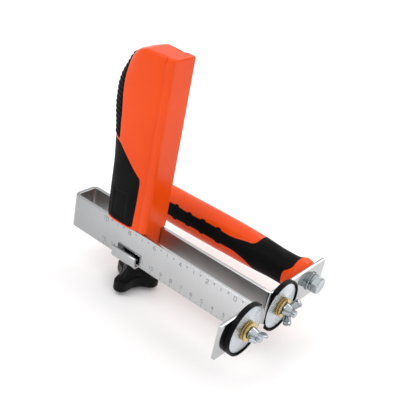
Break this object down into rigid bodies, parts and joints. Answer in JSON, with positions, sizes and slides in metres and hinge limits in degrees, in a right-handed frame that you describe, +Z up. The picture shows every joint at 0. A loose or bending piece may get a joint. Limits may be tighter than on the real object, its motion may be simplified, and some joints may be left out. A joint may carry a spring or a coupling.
{
  "type": "twin wheel strip cutter",
  "caption": "Hand tool that slits board into strips: a long U-shaped frame with a sliding handle as its fence, a side handle and cutting wheels across the open end.",
  "frame": {"origin": "centre of the outer face of the frame's closed end", "axes": "+X along the legs to the cutting wheels, +Y across from the ruled leg to the side handle, +Z up along the fence handle"},
  "size_m": [0.1979, 0.133, 0.1926],
  "materials": {
    "zinc_steel": "bright zinc plate, almost a mirror",
    "bolt_steel": "bright zinc plated fasteners",
    "blade_steel": "ground tool steel with turning rings",
    "black_steel": "satin black",
    "brass": "turned",
    "orange_plastic": "glossy moulded",
    "black_rubber": "soft satin overmould",
    "black_plastic": "satin moulded"
  },
  "bodies": {
    "frame": {"frame_strip": "zinc_steel", "front_axle_bolt": "bolt_steel", "rear_axle_bolt": "bolt_steel", "front_guard": "black_steel", "rear_guard": "black_steel", "front_bush": "brass", "rear_bush": "brass", "rear_handle_core": "orange_plastic", "rear_handle_grip": "black_rubber", "rear_handle_insert": "brass", "handle_bolt": "bolt_steel", "handle_lock_washer": "bolt_steel", "handle_flat_washer": "bolt_steel"},
    "fence": {"fence_handle": "orange_plastic", "fence_panel": "black_rubber", "fence_rib_strip": "black_rubber", "clamp_insert": "brass"},
    "clamp": {"clamp_bracket": "zinc_steel"},
    "knob": {"clamp_knob": "black_plastic", "clamp_screw": "bolt_steel"},
    "front_wheel": {"front_blade": "blade_steel"},
    "rear_wheel": {"rear_blade": "blade_steel"},
    "front_nut": {"front_wing_nut": "bolt_steel"},
    "rear_nut": {"rear_wing_nut": "bolt_steel"}
  },
  "joints": [
    {"name": "fence_slide", "type": "slide", "parent": "frame", "child": "fence", "axis": [1, 0, 0], "range_m": [-0.031, 0.098]},
    {"name": "clamp_travel", "type": "slide", "parent": "fence", "child": "clamp", "axis": [0, 0, 1], "range_m": [-0.0025, 0]},
    {"name": "knob_turn", "type": "hinge", "parent": "clamp", "child": "knob", "pos_m": [0.0623, 0, 0], "axis": [0, 0, 1], "range_deg": [-720, 0]},
    {"name": "front_wheel_spin", "type": "hinge", "parent": "frame", "child": "front_wheel", "pos_m": [0.183, -0.0215, 0], "axis": [1, 0, 0], "continuous": true},
    {"name": "rear_wheel_spin", "type": "hinge", "parent": "frame", "child": "rear_wheel", "pos_m": [0.183, 0.0215, 0], "axis": [1, 0, 0], "continuous": true},
    {"name": "front_nut_turn", "type": "hinge", "parent": "frame", "child": "front_nut", "pos_m": [0.19, -0.0215, 0], "axis": [1, 0, 0], "range_deg": [-360, 0]},
    {"name": "rear_nut_turn", "type": "hinge", "parent": "frame", "child": "rear_nut", "pos_m": [0.19, 0.0215, 0], "axis": [1, 0, 0], "range_deg": [-360, 0]}
  ],
  "couplings": [
    {"joint": "knob_turn", "follows": "clamp_travel", "rad_per_m": 5026.5}
  ]
}
